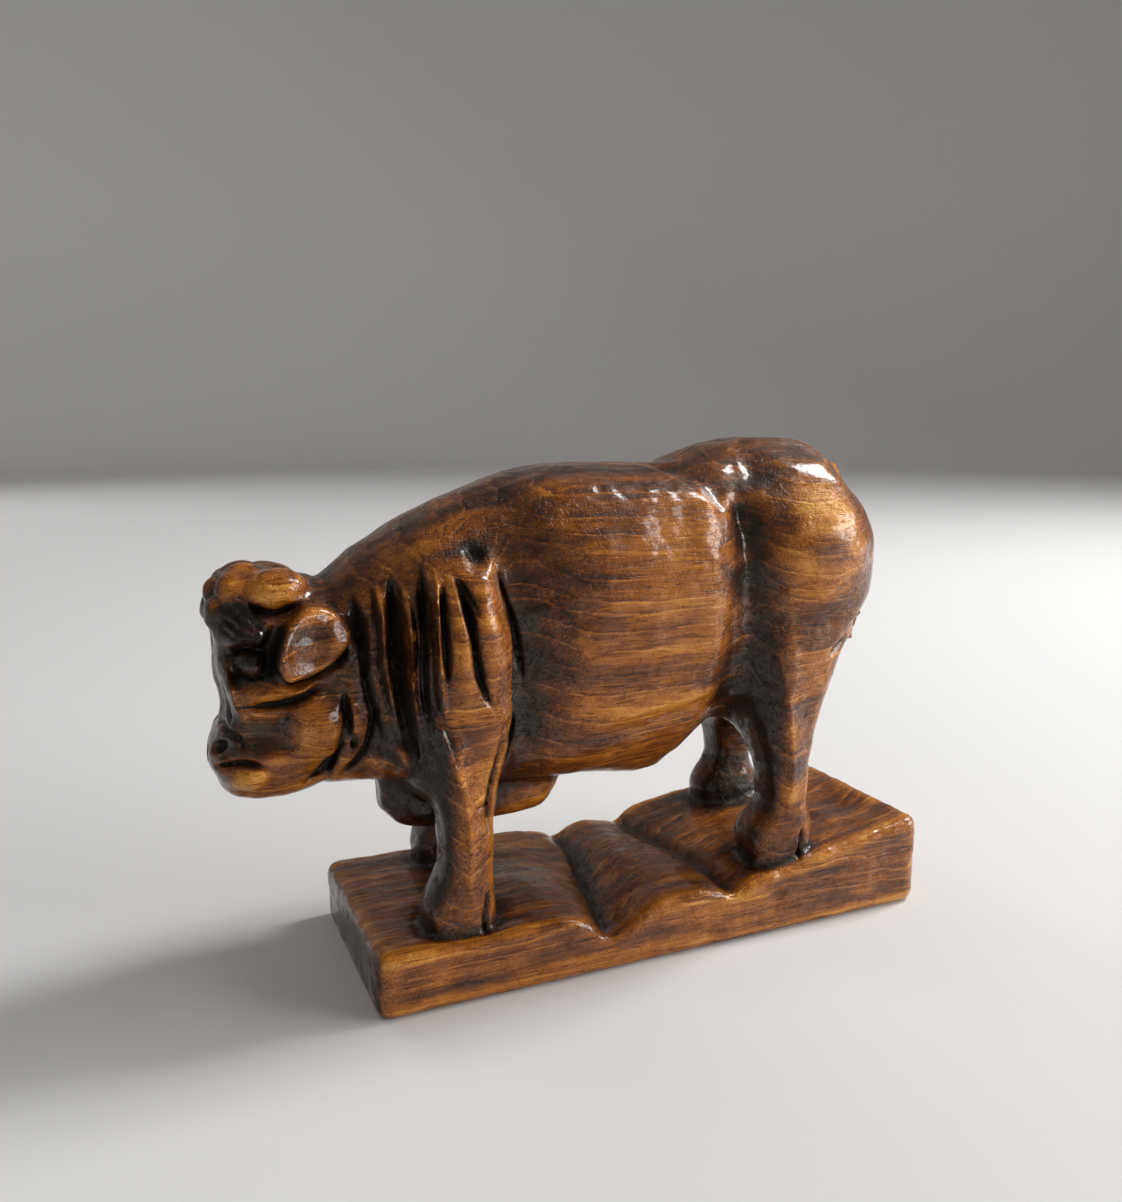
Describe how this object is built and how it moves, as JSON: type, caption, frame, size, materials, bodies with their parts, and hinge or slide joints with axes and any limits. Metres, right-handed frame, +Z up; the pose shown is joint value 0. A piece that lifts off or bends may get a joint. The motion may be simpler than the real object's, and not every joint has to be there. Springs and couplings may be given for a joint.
{
  "type": "bull figurine",
  "caption": "Carved and stained softwood bull with a lowered heavy head, standing on a rectangular plinth of uneven ground; a free-standing shelf ornament.",
  "frame": {"origin": "centre of the plinth's flat underside", "axes": "+Z up, +X towards the tail, -X towards the muzzle, -Y is the animal's left side"},
  "size_m": [0.2402, 0.076, 0.1685],
  "materials": {
    "carved_wood": "dark brown stain rubbed back to gold on the high points, clear gloss lacquer",
    "ground_wood": "dark brown stain with lengthwise grain, clear gloss lacquer",
    "knot_wood": "near-black branch knot under the same lacquer"
  },
  "bodies": {
    "root": {"plinth": "ground_wood", "trunk": "carved_wood", "knot": "knot_wood", "neck": "carved_wood", "head": "carved_wood", "forelock": "carved_wood", "left_ear": "carved_wood", "right_ear": "carved_wood", "brisket": "carved_wood", "left_foreleg": "carved_wood", "right_foreleg": "carved_wood", "left_hind_leg": "carved_wood", "right_hind_leg": "carved_wood", "tail": "carved_wood"}
  },
  "joints": []
}
